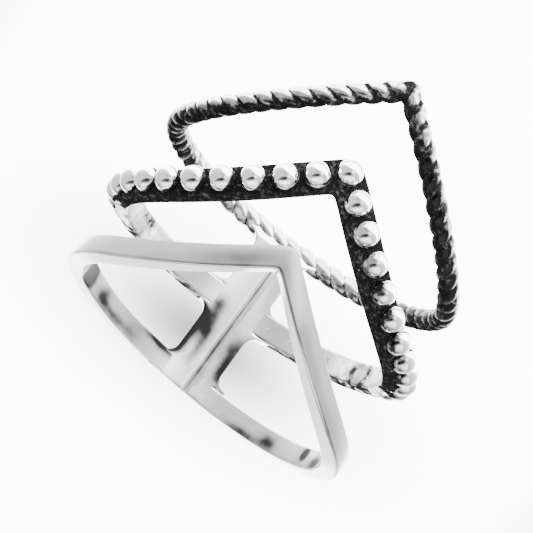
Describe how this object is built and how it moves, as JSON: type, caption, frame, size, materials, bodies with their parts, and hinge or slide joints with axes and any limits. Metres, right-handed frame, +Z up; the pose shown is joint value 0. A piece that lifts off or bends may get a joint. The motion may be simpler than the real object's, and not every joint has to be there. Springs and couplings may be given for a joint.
{
  "type": "chevron ring",
  "caption": "Finger ring of three chevron bands, plain, beaded and rope twisted, joined by one bar at the back",
  "frame": {"origin": "On the surface that the ring lies on, below the middle of its box", "axes": "+Z up; the chevrons point to -Y; the finger hole runs along +Z, leaning 21 degrees towards +Y; +X is across the ring"},
  "size_m": [0.021, 0.0248, 0.0161],
  "materials": {
    "silver": "polished silver, oxidised black between the beads",
    "dark_silver": "oxidised silver, bright on the strands and black in the grooves"
  },
  "bodies": {
    "root": {"ring_frame": "silver", "rope_band": "dark_silver"}
  },
  "joints": []
}
